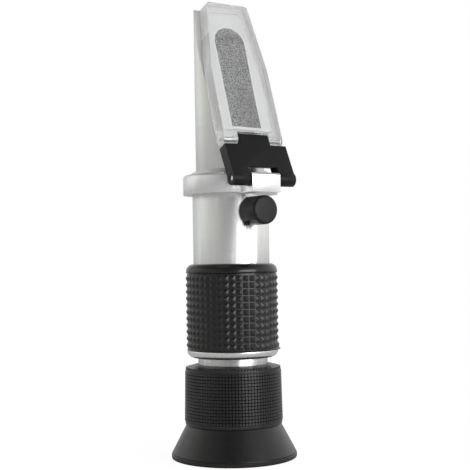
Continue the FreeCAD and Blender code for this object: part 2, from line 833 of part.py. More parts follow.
def make_prism_seal():
    """Black seal bonded round the prism on the head's slope."""
    body = new_body("prism_seal")

    def frame(grow):
        wide = f"prism_half_width + {grow}"
        return [
            (f"-({wide})", f"prism_start - {grow}"),
            (wide, f"prism_start - {grow}"),
            (wide, f"prism_end + {grow}"),
            (f"-({wide})", f"prism_end + {grow}"),
        ]

    outer = outline(body, "outer", "XZ_Plane", frame("(prism_fit + seal_width)"), "bed_level")
    pad(body, outer, "seal_height", both=False)
    doc.recompute()
    pocket(body, outline(body, "inner", "XZ_Plane", frame("seat_fit")))
    tilt_with_plate(body)


def make_daylight_plate():
    """Clear plate: a shallow tray over the prism, with two round feet on a cross pin."""
    body = new_body("daylight_plate")

    def tray(start, end, wall, end_wall):
        return [
            (f"-(plate_low_half - {wall})", start),
            (f"plate_low_half - {wall}", start),
            (f"plate_middle_half - {wall}", "plate_middle"),
            (f"plate_top_half - {wall}", f"{end} - {end_wall} - plate_corner"),
            (f"plate_top_half - {wall} - plate_corner", f"{end} - {end_wall}"),
            (f"-(plate_top_half - {wall} - plate_corner)", f"{end} - {end_wall}"),
            (f"-(plate_top_half - {wall})", f"{end} - {end_wall} - plate_corner"),
            (f"-(plate_middle_half - {wall})", "plate_middle"),
        ]

    pad(body, outline(body, "plate", "XZ_Plane", tray("0", "plate_length", "0", "0")), "plate_thickness")
    foot = circle(body, "foot", "YZ_Plane", "0", "0", "plate_thickness / 2")
    pad(body, foot, "2 * plate_low_half")
    doc.recompute()
    notch = outline(body, "notch", "XZ_Plane", [
        ("-(tab_half_width + notch_gap)", "-plate_thickness"),
        ("tab_half_width + notch_gap", "-plate_thickness"),
        ("tab_half_width + notch_gap", "notch_height"),
        ("-(tab_half_width + notch_gap)", "notch_height"),
    ])
    pocket(body, notch)
    hollow = tray("tray_start", "plate_length", "plate_wall", "plate_end_wall")
    back = outline(body, "hollow", "XZ_Plane", hollow, "-plate_thickness / 2")
    pocket(body, back, "plate_thickness - plate_web", both=False, reverse=True)
    bore_out(body, "pin_hole", "YZ_Plane", "0", "0", "plate_pin_radius + hinge_fit")
    tilt_with_plate(body)


def make_ground_window():
    """Ground light window, an insert with a round top, bonded behind the clear plate."""
    body = new_body("ground_window")
    strip = outline(body, "strip", "XZ_Plane", [
        ("-window_half_width", "window_start"),
        ("window_half_width", "window_start"),
        ("window_half_width", "window_end - window_half_width"),
        ("-window_half_width", "window_end - window_half_width"),
    ], "window_back")
    pad(body, strip, "window_thickness", both=False)
    top = "window_end - window_half_width"
    pad(body, circle(body, "top", "XZ_Plane", "0", top, "window_half_width", "window_back"),
        "window_thickness", both=False)
    tilt_with_plate(body)


def make_hinge_bracket():
    """Black bracket: two knuckles on the hinge pin, shoulders, and a tab between the plate's feet."""
    body = new_body("hinge_bracket")

    leaf = outline(body, "leaf", "XZ_Plane", [
        ("-bracket_half_width", "0"),
        ("bracket_half_width", "0"),
        ("bracket_half_width", "shoulder_along"),
        ("tab_half_width", "shoulder_along"),
        ("tab_half_width", "tab_along - tab_chamfer"),
        ("tab_half_width - tab_chamfer", "tab_along"),
        ("-(tab_half_width - tab_chamfer)", "tab_along"),
        ("-tab_half_width", "tab_along - tab_chamfer"),
        ("-tab_half_width", "shoulder_along"),
        ("-bracket_half_width", "shoulder_along"),
    ])
    pad(body, leaf, "bracket_thickness")
    knuckle = circle(body, "knuckle", "YZ_Plane", "0", "0", "knuckle_radius")
    pad(body, knuckle, "2 * bracket_half_width")
    boss = circle(body, "boss", "YZ_Plane", "-pin_proud", "pin_along", "pin_boss_radius")
    pad(body, boss, "2 * tab_half_width")
    doc.recompute()
    gap = outline(body, "gap", "YZ_Plane", [
        ("-bracket_thickness", "gap_front"),
        ("bracket_thickness", "gap_back"),
        ("bracket_thickness", "-bracket_thickness"),
        ("-bracket_thickness", "-bracket_thickness"),
    ])
    pocket(body, gap, "2 * (lug_half_width + knuckle_clearance)")
    bore_out(body, "hinge_hole", "YZ_Plane", "0", "0", "hinge_pin_radius + hinge_fit")
    bore_out(body, "plate_hole", "YZ_Plane", "-pin_proud", "pin_along", "plate_pin_radius")
    spin = FreeCAD.Rotation(V(1, 0, 0), -S["bracket_angle"])
    body.Placement = FreeCAD.Placement(V(0, -S["hinge_front"], S["hinge_height"]), spin)


def make_screw_parts():
    """Calibration screw, its flanged bush, its clip and the rubber cap over its head."""
    bush = turned("screw_bush", [
        ("screw_shank_radius + hinge_fit", "bush_inner_end"),
        ("bush_radius", "bush_inner_end"),
        ("bush_radius", "bush_flange_back"),
        ("bush_flange_radius", "bush_flange_back"),
        ("bush_flange_radius", "bush_flange_front"),
        ("screw_shank_radius + hinge_fit", "bush_flange_front"),
    ])
    turn_to_front(bush, S["screw_height"])

    screw = turned("calibration_screw", [
        ("0", "screw_tip_end"),
        ("screw_tip_radius", "screw_tip_end"),
        ("screw_tip_radius", "screw_shank_end"),
        ("screw_shank_radius", "screw_shank_end"),
        ("screw_shank_radius", "screw_head_back"),
        ("screw_head_radius", "screw_head_back"),
        ("screw_head_radius", "screw_head_front"),
        ("0", "screw_head_front"),
    ])
    slot = outline(screw, "slot", "XZ_Plane", [
        ("-screw_slot_width / 2", "screw_head_front - screw_slot_depth"),
        ("screw_slot_width / 2", "screw_head_front - screw_slot_depth"),
        ("screw_slot_width / 2", "screw_head_front + screw_slot_depth"),
        ("-screw_slot_width / 2", "screw_head_front + screw_slot_depth"),
    ])
    pocket(screw, slot)
    turn_to_front(screw, S["screw_height"])

    clip = turned("screw_clip", [
        ("screw_tip_radius", "screw_shank_end - clip_thickness"),
        ("clip_radius", "screw_shank_end - clip_thickness"),
        ("clip_radius", "screw_shank_end"),
        ("screw_tip_radius", "screw_shank_end"),
    ])
    turn_to_front(clip, S["screw_height"])

    cap = turned("calibration_cap", [
        ("cap_bore", "cap_skirt"),
        ("cap_radius", "cap_skirt"),
        ("cap_radius", "cap_front"),
        ("0", "cap_front"),
        ("0", "cap_front - cap_floor"),
        ("cap_bore", "cap_front - cap_floor"),
    ])
    soften(cap, ring_edges(cap, S["cap_radius"], S["cap_front"]), "cap_round")
    tab_turn = math.radians(S["cap_tab_angle"])
    mid = (-math.sin(tab_turn) * S["cap_tab_reach"], -math.cos(tab_turn) * S["cap_tab_reach"])
    tab = circle(cap, "tab", "XY_Plane", f"{mid[0]:.6f}", f"{mid[1]:.6f}", "cap_tab_half", "cap_skirt")
    pad(cap, tab, "cap_tab_front - cap_skirt", both=False)
    turn_to_front(cap, S["screw_height"])


def upright_block(body, name, left, right, back, front, low, high):
    """Add a block between two front distances, two sides and two heights."""
    sketch = outline(body, name, "XY_Plane", [
        (left, f"-({back})"), (right, f"-({back})"), (right, f"-({front})"), (left, f"-({front})"),
    ], low)
    pad(body, sketch, f"({high}) - ({low})", both=False)


def make_objective():
    """Lens carriage on its guide ring, with the temperature strip that carries the lens cell."""
    floor = "(guide_ring_top + carriage_lift)"
    ring = turned("guide_ring", [
        ("guide_ring_bore", "guide_ring_bottom"),
        ("tube_bore - inner_fit", "guide_ring_bottom"),
        ("tube_bore - inner_fit", "guide_ring_top"),
        ("guide_ring_bore", "guide_ring_top"),
    ])
    carriage = turned("lens_carriage", [
        ("guide_ring_bore", floor),
        ("carriage_radius", floor),
        ("carriage_radius", f"{floor} + carriage_thickness"),
        ("guide_ring_bore", f"{floor} + carriage_thickness"),
    ])
    for side, mark in (("left", -1), ("right", 1)):
        inner = f"{mark} * rail_inner"
        outer = f"{mark} * (rail_inner + rail_width)"
        upright_block(carriage, f"{side}_rail", inner, outer, "-rail_reach", "rail_reach",
                      "guide_ring_top - rail_height", floor)
        near = f"{mark} * (rail_inner - rail_fit)"
        far = f"{mark} * (rail_inner + rail_width + rail_fit)"
        slot = outline(ring, f"{side}_slot", "XZ_Plane", [
            (near, "guide_ring_top - rail_height - rail_fit"),
            (far, "guide_ring_top - rail_height - rail_fit"),
            (far, "guide_ring_top + rail_height"),
            (near, "guide_ring_top + rail_height"),
        ])
        pocket(ring, slot)
    low = f"{floor} + carriage_thickness"
    upright_block(carriage, "nut", "-post_half_width", "post_half_width", "nut_back", "nut_front",
                  low, "post_top")
    upright_block(carriage, "post", "-post_half_width", "post_half_width",
                  "-(strip_radius + inner_fit + post_depth)", "-(strip_radius + inner_fit)",
                  low, "post_top")
    doc.recompute()
    thread = circle(carriage, "thread", "XZ_Plane", "0", "screw_height", "screw_tip_radius + hinge_fit")
    pocket(carriage, thread, both=False, reverse=True)

    strip = new_body("strip_blank", node=False)
    side = outline(strip, "section", "YZ_Plane", [
        ("-strip_radius", "strip_low"),
        ("-strip_radius + strip_thickness", "strip_low"),
        ("-strip_radius + strip_thickness", "strip_high"),
        ("-strip_radius", "strip_high"),
    ])
    bend = strip.newObject("PartDesign::Revolution", "strip_blank_bend")
    bend.Profile = side
    bend.ReferenceAxis = (side, ["V_Axis"])
    bind(bend, "Angle", "360 - 2 * strip_opening")
    strip.Placement = FreeCAD.Placement(V(0, 0, 0), FreeCAD.Rotation(V(0, 0, 1), S["strip_opening"]))

    turned("lens_cell", [
        ("objective_radius - cell_lip", "cell_low"),
        ("cell_radius", "cell_low"),
        ("cell_radius", "cell_high"),
        ("objective_radius + lens_fit", "cell_high"),
        ("objective_radius + lens_fit", "cell_low + cell_lip"),
        ("objective_radius - cell_lip", "cell_low + cell_lip"),
    ])
    make_objective_lens()
    screws = strip_rods("strip_screw", "strip_screw_radius")
    pair = doc.addObject("Part::MultiFuse", "strip_screws")
    pair.Shapes = screws
    pair.Label = "strip_screws"
    nodes.append(pair)
    holes = doc.addObject("Part::MultiFuse", "strip_holes")
    holes.Shapes = strip_rods("strip_hole", "strip_screw_radius + seat_fit")
    drilled = doc.addObject("Part::Cut", "compensator_strip")
    drilled.Base = strip
    drilled.Tool = holes
    drilled.Label = "compensator_strip"
    nodes.append(drilled)


def strip_rods(name, radius):
    """Two rods from the lens cell out through the strip: its screws, or the holes for them."""
    rods = []
    for number, angle in enumerate((-S["strip_screw_angle"], S["strip_screw_angle"])):
        rod = doc.addObject("Part::Cylinder", f"{name}_{number}")
        bind(rod, "Radius", radius)
        bind(rod, "Height", "strip_radius + strip_thickness - cell_radius")
        turn = math.radians(angle)
        start = V(math.sin(turn) * S["cell_radius"], -math.cos(turn) * S["cell_radius"],
                  (S["strip_low"] + S["strip_high"]) / 2)
        rod.Placement = FreeCAD.Placement(start, FreeCAD.Rotation(V(0, 0, 1), V(start.x, start.y, 0)))
        rods.append(rod)
    return rods


def make_objective_lens():
    """Objective lens, curved on both faces, and its retaining ring."""
    disc = doc.addObject("Part::Cylinder", "objective_disc")
    bind(disc, "Radius", "objective_radius")
    bind(disc, "Height", "objective_thickness")
    balls = []
    low = S["cell_low"] + S["cell_lip"] + S["lens_fit"]
    high = low + S["objective_thickness"]
    for number, centre in enumerate((high - S["objective_curve"], low + S["objective_curve"])):
        ball = doc.addObject("Part::Sphere", f"objective_ball_{number}")
        bind(ball, "Radius", "objective_curve")
        ball.Placement.Base = V(0, 0, centre)
        balls.append(ball)
    disc.Placement.Base = V(0, 0, low)
    lens = doc.addObject("Part::MultiCommon", "objective_lens")
    lens.Shapes = [disc] + balls
    lens.Label = "objective_lens"
    nodes.append(lens)
    ring_low = "cell_low + cell_lip + 2 * lens_fit + objective_thickness"
    turned("objective_ring", [
        ("objective_radius - cell_lip", ring_low),
        ("objective_radius", ring_low),
        ("objective_radius", "cell_high"),
        ("objective_radius - cell_lip", "cell_high"),
    ])


def make_barrel_inserts():
    """Rings fixed in the barrel: aperture stop, stray light baffle, and the reticle with its cell."""
    outer = "tube_bore - inner_fit"
    for label, bore, low, high in (
        ("aperture_stop", "stop_bore", "stop_bottom", "stop_top"),
        ("light_baffle", "baffle_bore", "baffle_height", "baffle_height + baffle_thickness"),
    ):
        turned(label, [(bore, low), (outer, low), (outer, high), (bore, high)])
    ledge = "reticle_cell_bottom + reticle_ledge"
    cell = turned("reticle_cell", [
        ("reticle_cell_bore", "reticle_cell_bottom"),
        (outer, "reticle_cell_bottom"),
        (outer, "reticle_cell_top"),
        ("reticle_radius + lens_fit", "reticle_cell_top"),
        ("reticle_radius + lens_fit", ledge),
        ("reticle_cell_bore", ledge),
    ])
    turned("reticle", [
        ("0", f"{ledge} + lens_fit"),
        ("reticle_radius", f"{ledge} + lens_fit"),
        ("reticle_radius", f"{ledge} + lens_fit + reticle_thickness"),
        ("0", f"{ledge} + lens_fit + reticle_thickness"),
    ])
    ring_low = f"{ledge} + 2 * lens_fit + reticle_thickness"
    turned("reticle_ring", [
        ("reticle_cell_bore", ring_low),
        ("reticle_radius", ring_low),
        ("reticle_radius", f"{ring_low} + reticle_ring_height"),
        ("reticle_cell_bore", f"{ring_low} + reticle_ring_height"),
    ])
    screws = []
    for number in range(CELL_SCREWS):
        screw = doc.addObject("Part::Cylinder", f"cell_screw_{number}")
        bind(screw, "Radius", "cell_screw_radius")
        bind(screw, "Height", "tube_radius - cell_screw_tip - inner_fit")
        turn = 2 * math.pi * number / CELL_SCREWS
        way = V(math.sin(turn), -math.cos(turn), 0)
        start = way * S["cell_screw_tip"] + V(0, 0, S["cell_screw_height"])
        screw.Placement = FreeCAD.Placement(start, FreeCAD.Rotation(V(0, 0, 1), way))
        screws.append(screw)
    hole = radial_hole(cell, "screw_hole", "cell_screw_height", "cell_screw_radius + seat_fit")
    pattern = cell.newObject("PartDesign::PolarPattern", "reticle_cell_holes")
    pattern.Originals = [hole]
    pattern.Axis = (plane_of(cell, "Z_Axis"), [""])
    pattern.Angle = 360
    pattern.Occurrences = CELL_SCREWS
    cell.Tip = pattern
    group = doc.addObject("Part::MultiFuse", "cell_screws")
    group.Shapes = screws
    group.Label = "cell_screws"
    nodes.append(group)


def write_steps():
    """Check every object and write each piece to its own file."""
    doc.recompute()
    for thing in doc.Objects:
        if "Invalid" in thing.State or "Error" in thing.State:
            raise RuntimeError(f"{thing.Name} failed: {thing.State}")
    os.makedirs("parts", exist_ok=True)
    for node in nodes:
        shape = node.Shape
        if shape.isNull() or not shape.isValid() or not shape.Solids:
            raise RuntimeError(f"{node.Label} has no valid solid")
        shape.exportStep(f"parts/{node.Label}.step")
        print(f"{node.Label}: {len(shape.Solids)} solid, {shape.Volume:.1f} mm3")


make_eyecup()
make_ocular_barrel()
make_ocular_lenses()
make_draw_tube()
make_damping_ring()
make_focus_housing()
make_guide_pin()
make_grip_ring()
make_main_tube()
make_hinge_collar()
make_prism_housing()
make_prism()
make_prism_seal()
make_daylight_plate()
make_ground_window()
make_hinge_bracket()
cross_pin("hinge_pin", "hinge_pin_radius", "hinge_pin_length", S["hinge_front"], S["hinge_height"])
cross_pin("plate_pin", "plate_pin_radius", "plate_pin_length", S["plate_pin_front"], S["plate_pin_height"])
make_screw_parts()
make_objective()
make_barrel_inserts()
make_grip_sleeve()
write_steps()
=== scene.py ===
# %% [markdown]
# A handheld refractometer: an optical tube that stands on its rubber eyecup, with a sloping
# prism head at the top. A clear plate folds down over the prism, and daylight passes through
# it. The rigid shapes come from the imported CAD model, which is loaded first and is never
# moved. This lesson gives each of them its finish and models the pieces whose surface has
# more relief than the CAD solids carry.

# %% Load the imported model
import bmesh
import bpy
import json
import math
from mathutils import Matrix, Vector


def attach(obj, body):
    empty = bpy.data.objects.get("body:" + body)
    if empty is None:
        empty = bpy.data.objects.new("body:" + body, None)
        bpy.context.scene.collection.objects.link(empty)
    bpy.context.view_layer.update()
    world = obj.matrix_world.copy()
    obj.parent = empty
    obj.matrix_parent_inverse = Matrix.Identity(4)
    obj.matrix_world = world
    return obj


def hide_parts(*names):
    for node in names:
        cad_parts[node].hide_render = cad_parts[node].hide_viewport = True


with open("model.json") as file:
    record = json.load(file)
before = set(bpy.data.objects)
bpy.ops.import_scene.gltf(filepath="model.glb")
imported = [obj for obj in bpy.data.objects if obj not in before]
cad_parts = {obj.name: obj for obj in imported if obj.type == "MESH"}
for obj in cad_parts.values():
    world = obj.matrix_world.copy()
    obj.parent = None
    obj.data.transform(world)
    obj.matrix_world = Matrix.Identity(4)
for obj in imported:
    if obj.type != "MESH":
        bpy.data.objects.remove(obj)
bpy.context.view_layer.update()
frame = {"nodes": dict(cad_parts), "record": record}
MM = 0.001
nodes = frame["nodes"]
bodies = frame["record"]["behaviour"]["bodies"]
body_of = {name: body for body, names in bodies.items() for name in names}

# %% [markdown]
# The photograph was taken from a little left of the front, at about the height of the grip,
# with the camera level. So the camera stands on a circle round the barrel's axis and looks
# straight at it. A lens length in pixels turns into millimetres on a 36 mm wide sensor, and
# two small shifts put the horizon and the axis where they are in the picture.

# %% The camera
IMAGE_WIDTH = 470
SENSOR_WIDTH = 36.0
FOCAL_PIXELS = 1025
CAMERA_DISTANCE = 0.364
CAMERA_HEIGHT = 0.0696
CAMERA_AZIMUTH = math.radians(32)
CAMERA_ROLL = 0.0157
HORIZON_ROW = 260.0
AXIS_COLUMN = 231.4

toward_camera = Vector((-math.sin(CAMERA_AZIMUTH), -math.cos(CAMERA_AZIMUTH), 0))
camera_right = Vector((math.cos(CAMERA_AZIMUTH), -math.sin(CAMERA_AZIMUTH), 0))
lens = bpy.data.cameras.new("camera")
lens.sensor_width = SENSOR_WIDTH
lens.lens = FOCAL_PIXELS / IMAGE_WIDTH * SENSOR_WIDTH
lens.shift_x = (IMAGE_WIDTH / 2 - AXIS_COLUMN) / IMAGE_WIDTH
lens.shift_y = (HORIZON_ROW - IMAGE_WIDTH / 2) / IMAGE_WIDTH
camera = bpy.data.objects.new("camera", lens)
look = Matrix.Rotation(-CAMERA_AZIMUTH, 4, "Z") @ Matrix.Rotation(math.pi / 2, 4, "X")
camera.matrix_world = (
    Matrix.Translation(toward_camera * CAMERA_DISTANCE + Vector((0, 0, CAMERA_HEIGHT)))
    @ look
    @ Matrix.Rotation(-CAMERA_ROLL, 4, "Z")
)
bpy.context.scene.collection.objects.link(camera)
bpy.context.scene.camera = camera
bpy.context.scene.view_settings.view_transform = "Standard"
print(f"lens {lens.lens:.1f} mm, {CAMERA_DISTANCE * 1000:.0f} mm from the axis")


# %% [markdown]
# A studio for shiny metal is mostly a matter of what the metal can see. One large soft light
# stands to the right of the camera and gives the broad white band on the barrel. A dimmer
# one on the left lifts the other side, and a weak one overhead lifts the tops. The room around
# them is a smooth wheel of greys, with the darkest part near the camera, so that the barrel
# shades off between the two lights. It grows darker toward the ceiling, which keeps the
# upward slopes of the black rubber dark.

# %% Soft lights
AIM_HEIGHT = 0.08


def soft_light(name, angle, height, width, tall, distance, radiance):
    """An area light at an angle to the right of the camera, aimed at the barrel's middle."""
    data = bpy.data.lights.new(name, "AREA")
    data.shape = "RECTANGLE"
    data.size = width
    data.size_y = tall
    data.energy = radiance * math.pi * width * tall
    lamp = bpy.data.objects.new(name, data)
    turn = math.radians(angle)
    place = (toward_camera * math.cos(turn) + camera_right * math.sin(turn)) * distance
    place.z = height
    aim = Vector((0, 0, AIM_HEIGHT)) - place
    turned_to_aim = aim.to_track_quat("-Z", "Y").to_matrix().to_4x4()
    lamp.matrix_world = Matrix.Translation(place) @ turned_to_aim
    bpy.context.scene.collection.objects.link(lamp)


soft_light("key_light", angle=41, height=0.14, width=0.60, tall=0.38,
           distance=0.8, radiance=3.9)
soft_light("fill_light", angle=-105, height=0.30, width=0.7, tall=0.8,
           distance=0.9, radiance=0.25)
soft_light("top_light", angle=0, height=1.1, width=0.8, tall=0.8,
           distance=0.25, radiance=0.3)


# %% The room that metal and glass reflect
DIM_FROM = 0.35
DIM_UNTIL = 0.85
CEILING_SHARE = 0.35


def map_range(tree, from_min, from_max, to_min, to_max):
    """A node that carries a value from one range over to another."""
    node = tree.nodes.new("ShaderNodeMapRange")
    node.inputs["From Min"].default_value = from_min
    node.inputs["From Max"].default_value = from_max
    node.inputs["To Min"].default_value = to_min
    node.inputs["To Max"].default_value = to_max
    return node


world = bpy.data.worlds.new("studio")
world.use_nodes = True
bpy.context.scene.world = world
tree = world.node_tree
tree.nodes.clear()
direction = tree.nodes.new("ShaderNodeTexCoord")
turned = tree.nodes.new("ShaderNodeMapping")
turned.inputs["Rotation"].default_value[2] = CAMERA_AZIMUTH + math.pi / 2
wheel = tree.nodes.new("ShaderNodeTexGradient")
wheel.gradient_type = "RADIAL"
greys = tree.nodes.new("ShaderNodeValToRGB")
greys.color_ramp.interpolation = "EASE"
heading = tree.nodes.new("ShaderNodeSeparateXYZ")
dimming = map_range(tree, DIM_FROM, DIM_UNTIL, 1.0, CEILING_SHARE)
room = tree.nodes.new("ShaderNodeBackground")
paper = tree.nodes.new("ShaderNodeBackground")
paper.inputs["Color"].default_value = (1, 1, 1, 1)
paths = tree.nodes.new("ShaderNodeLightPath")
seen = tree.nodes.new("ShaderNodeMath")
seen.operation = "MAXIMUM"
blend = tree.nodes.new("ShaderNodeMixShader")
output = tree.nodes.new("ShaderNodeOutputWorld")
tree.links.new(direction.outputs["Generated"], turned.inputs["Vector"])
tree.links.new(turned.outputs["Vector"], wheel.inputs["Vector"])
tree.links.new(wheel.outputs["Fac"], greys.inputs["Fac"])
tree.links.new(greys.outputs["Color"], room.inputs["Color"])
tree.links.new(direction.outputs["Generated"], heading.inputs["Vector"])
tree.links.new(heading.outputs["Z"], dimming.inputs["Value"])
tree.links.new(dimming.outputs["Result"], room.inputs["Strength"])
tree.links.new(paths.outputs["Is Camera Ray"], seen.inputs[0])
tree.links.new(paths.outputs["Is Transmission Ray"], seen.inputs[1])
tree.links.new(seen.outputs[0], blend.inputs["Fac"])
tree.links.new(room.outputs[0], blend.inputs[1])
tree.links.new(paper.outputs[0], blend.inputs[2])
tree.links.new(blend.outputs[0], output.inputs["Surface"])

# Greys of the room against the angle to the right of the camera
ROOM_GREYS = [
    (-180, (0.74, 0.74, 0.74)),
    (-130, (0.66, 0.66, 0.66)),
    (-90, (0.66, 0.70, 0.64)),
    (-60, (0.68, 0.67, 0.65)),
    (-38, (0.52, 0.51, 0.51)),
    (-14, (0.31, 0.31, 0.31)),
    (5, (0.36, 0.36, 0.37)),
    (60, (1.0, 1.0, 1.0)),
    (110, (1.12, 1.12, 1.12)),
    (180, (0.74, 0.74, 0.74)),
]
stops = greys.color_ramp.elements
while len(stops) < len(ROOM_GREYS):
    stops.new(0.5)
for stop, (angle, grey) in zip(stops, ROOM_GREYS):
    stop.position = (angle + 180) / 360
    stop.color = (*grey, 1)
print(f"three lights and a room of {len(stops)} greys")

# %% The floor
FLOOR_SIZE = 3.0
floor_mesh = bpy.data.meshes.new("floor")
sheet = bmesh.new()
bmesh.ops.create_grid(sheet, x_segments=1, y_segments=1, size=FLOOR_SIZE)
sheet.to_mesh(floor_mesh)
sheet.free()
floor = bpy.data.objects.new("floor", floor_mesh)
bpy.context.scene.collection.objects.link(floor)


# %% [markdown]
# Every finish starts from a Principled shader. What is the same all over the surface is set
# on the shader itself; what varies, such as the tone and the fine relief, comes from noise
# that is read in the object's own coordinates, so it stays put when a piece moves.

# %% Helpers for finishes
NOISE_LOW = 0.3
NOISE_HIGH = 0.7


def finish_of(name, color, metallic=0.0, roughness=0.5, **sockets):
    """A new material with a Principled shader; further sockets are given by their names."""
    material = bpy.data.materials.new(name)
    material.use_nodes = True
    shader = material.node_tree.nodes["Principled BSDF"]
    shader.inputs["Base Color"].default_value = (*color, 1)
    shader.inputs["Metallic"].default_value = metallic
    shader.inputs["Roughness"].default_value = roughness
    for socket, value in sockets.items():
        shader.inputs[socket.replace("_", " ")].default_value = value
    return material, shader


def noise_of(material, scale, stretch=(1, 1, 1), detail=3.0):
    """Noise in the object's own coordinates, in grains per metre, drawn out by stretch."""
    tree = material.node_tree
    place = tree.nodes.new("ShaderNodeTexCoord")
    mapping = tree.nodes.new("ShaderNodeMapping")
    mapping.inputs["Scale"].default_value = stretch
    noise = tree.nodes.new("ShaderNodeTexNoise")
    noise.inputs["Scale"].default_value = scale
    noise.inputs["Detail"].default_value = detail
    tree.links.new(place.outputs["Object"], mapping.inputs["Vector"])
    tree.links.new(mapping.outputs["Vector"], noise.inputs["Vector"])
    return noise.outputs["Fac"]


def vary(material, shader, socket, source, low, high):
    """Drive one of the shader's sockets from low to high by the noise."""
    tree = material.node_tree
    spread = map_range(tree, NOISE_LOW, NOISE_HIGH, low, high)
    tree.links.new(source, spread.inputs["Value"])
    tree.links.new(spread.outputs["Result"], shader.inputs[socket])


def tint(material, shader, source, dark, light):
    """Mix the base colour between two tones by the noise."""
    tree = material.node_tree
    mix = tree.nodes.new("ShaderNodeMix")
    mix.data_type = "RGBA"
    mix.inputs["A"].default_value = (*dark, 1)
    mix.inputs["B"].default_value = (*light, 1)
    tree.links.new(source, mix.inputs["Factor"])
    tree.links.new(mix.outputs["Result"], shader.inputs["Base Color"])


def emboss(material, shader, source, depth):
    """Raise the surface by the noise, in metres."""
    tree = material.node_tree
    bump = tree.nodes.new("ShaderNodeBump")
    bump.inputs["Distance"].default_value = depth
    bump.inputs["Strength"].default_value = 1.0
    tree.links.new(source, bump.inputs["Height"])
    tree.links.new(bump.outputs["Normal"], shader.inputs["Normal"])


# %% Metals
def satin_aluminium():
    """Anodised aluminium: a fine even grain with faint turning marks round the barrel."""
    material, shader = finish_of("satin_aluminium", (0.78, 0.78, 0.78), 1.0, 0.36)
    rings = noise_of(material, 1500, (0.04, 0.04, 1))
    vary(material, shader, "Roughness", rings, 0.32, 0.42)
    cloud = noise_of(material, 120)
    tint(material, shader, cloud, (0.76, 0.76, 0.76), (0.81, 0.81, 0.80))
    emboss(material, shader, noise_of(material, 9000), 0.00001)
    return material


def polished_aluminium():
    """Turned and polished aluminium, a little brighter and sharper than the barrel."""
    material, shader = finish_of("polished_aluminium", (0.84, 0.84, 0.85), 1.0, 0.28)
    vary(material, shader, "Roughness", noise_of(material, 900, (0.02, 0.02, 1)), 0.26, 0.30)
    emboss(material, shader, noise_of(material, 5000), 0.000003)
    return material


def bright_plating():
    """Bright plating on the draw tube, with turning marks round it."""
    material, shader = finish_of("bright_plating", (0.57, 0.57, 0.57), 1.0, 0.28)
    vary(material, shader, "Roughness", noise_of(material, 1200, (0.01, 0.01, 1)), 0.26, 0.30)
    return material


def turned_steel():
    """Plain steel of the pins, the small screws and the clip."""
    material, shader = finish_of("turned_steel", (0.62, 0.62, 0.63), 1.0, 0.28)
    vary(material, shader, "Roughness", noise_of(material, 4000), 0.2, 0.36)
    return material


def turned_brass():
    """Brass of the calibration screw, its bush and the objective's cell."""
    material, shader = finish_of("turned_brass", (0.72, 0.52, 0.24), 1.0, 0.3)
    vary(material, shader, "Roughness", noise_of(material, 3000), 0.22, 0.4)
    return material


def bimetal_strip():
    """The temperature strip, of two metals rolled together."""
    material, shader = finish_of("bimetal_strip", (0.55, 0.48, 0.38), 1.0, 0.35)
    vary(material, shader, "Roughness", noise_of(material, 2500), 0.28, 0.45)
    return material


def black_anodised():
    """Matt black inside surfaces that swallow stray light."""
    material, shader = finish_of("black_anodised", (0.012, 0.012, 0.013), 0.0, 0.55)
    vary(material, shader, "Roughness", noise_of(material, 3000), 0.5, 0.65)
    return material


def black_paint():
    """Matt black stoved paint with a fine pebbled skin."""
    material, shader = finish_of("black_paint", (0.010, 0.010, 0.0105), 0.0, 0.45,
                                 Specular_IOR_Level=0.22)
    vary(material, shader, "Roughness", noise_of(material, 700), 0.38, 0.48)
    emboss(material, shader, noise_of(material, 2600, detail=2), 0.000012)
    return material


print("metals defined")


# %% Rubber and plastic
def rubber(name, tone, roughness, grain_depth, gloss=0.4):
    """Moulded rubber: nearly black, with a fine grain and a slightly uneven bloom."""
    material, shader = finish_of(name, (tone, tone, tone), 0.0, roughness,
                                 Specular_IOR_Level=gloss)
    bloom = noise_of(material, 90)
    tint(material, shader, bloom, (tone * 0.8,) * 3, (tone * 1.35,) * 3)
    vary(material, shader, "Roughness", noise_of(material, 400), roughness - 0.03, roughness + 0.04)
    emboss(material, shader, noise_of(material, 5000, detail=2), grain_depth)
    return material


def gloss_black():
    """The smooth black ring above the grip, glossier than the rubber."""
    material, shader = finish_of("gloss_black", (0.005, 0.005, 0.0055), 0.0, 0.18)
    vary(material, shader, "Roughness", noise_of(material, 600), 0.14, 0.22)
    return material


def clear_acrylic():
    """Clear moulded acrylic, a little hazy, with a few faint hairlines."""
    material, shader = finish_of("clear_acrylic", (0.99, 0.995, 0.995), 0.0, 0.03,
                                 IOR=1.42, Transmission_Weight=0.9)
    vary(material, shader, "Roughness", noise_of(material, 900), 0.02, 0.06)
    return material


def optical_glass():
    """Polished glass of the lenses, the reticle and the prism."""
    material, shader = finish_of("optical_glass", (0.97, 0.99, 0.98), 0.0, 0.0,
                                 IOR=1.52, Transmission_Weight=1.0)
    vary(material, shader, "Roughness", noise_of(material, 500), 0.0, 0.02)
    return material


def moulded_side():
    """The plate's narrow sides, left as they came from the mould: pale and matt."""
    material, shader = finish_of("moulded_side", (0.99, 0.99, 0.99), 0.0, 0.3,
                                 IOR=1.42, Transmission_Weight=0.45)
    flow = noise_of(material, 500, (1, 0.06, 0.06))
    vary(material, shader, "Roughness", flow, 0.22, 0.38)
    return material


def frosted_back(name, tone):
    """The plate's back round the window: ground matt, so that it lets no glare through; at full
    white it also gives the painted highlight round the window.
    """
    material, shader = finish_of(name, (tone, tone, tone), 0.0, 0.6)
    haze = noise_of(material, 2200, detail=4)
    tint(material, shader, haze, (tone * 0.96,) * 3, (tone * 1.02,) * 3)
    return material


GRAIN_LOW = 0.36
GRAIN_HIGH = 0.64


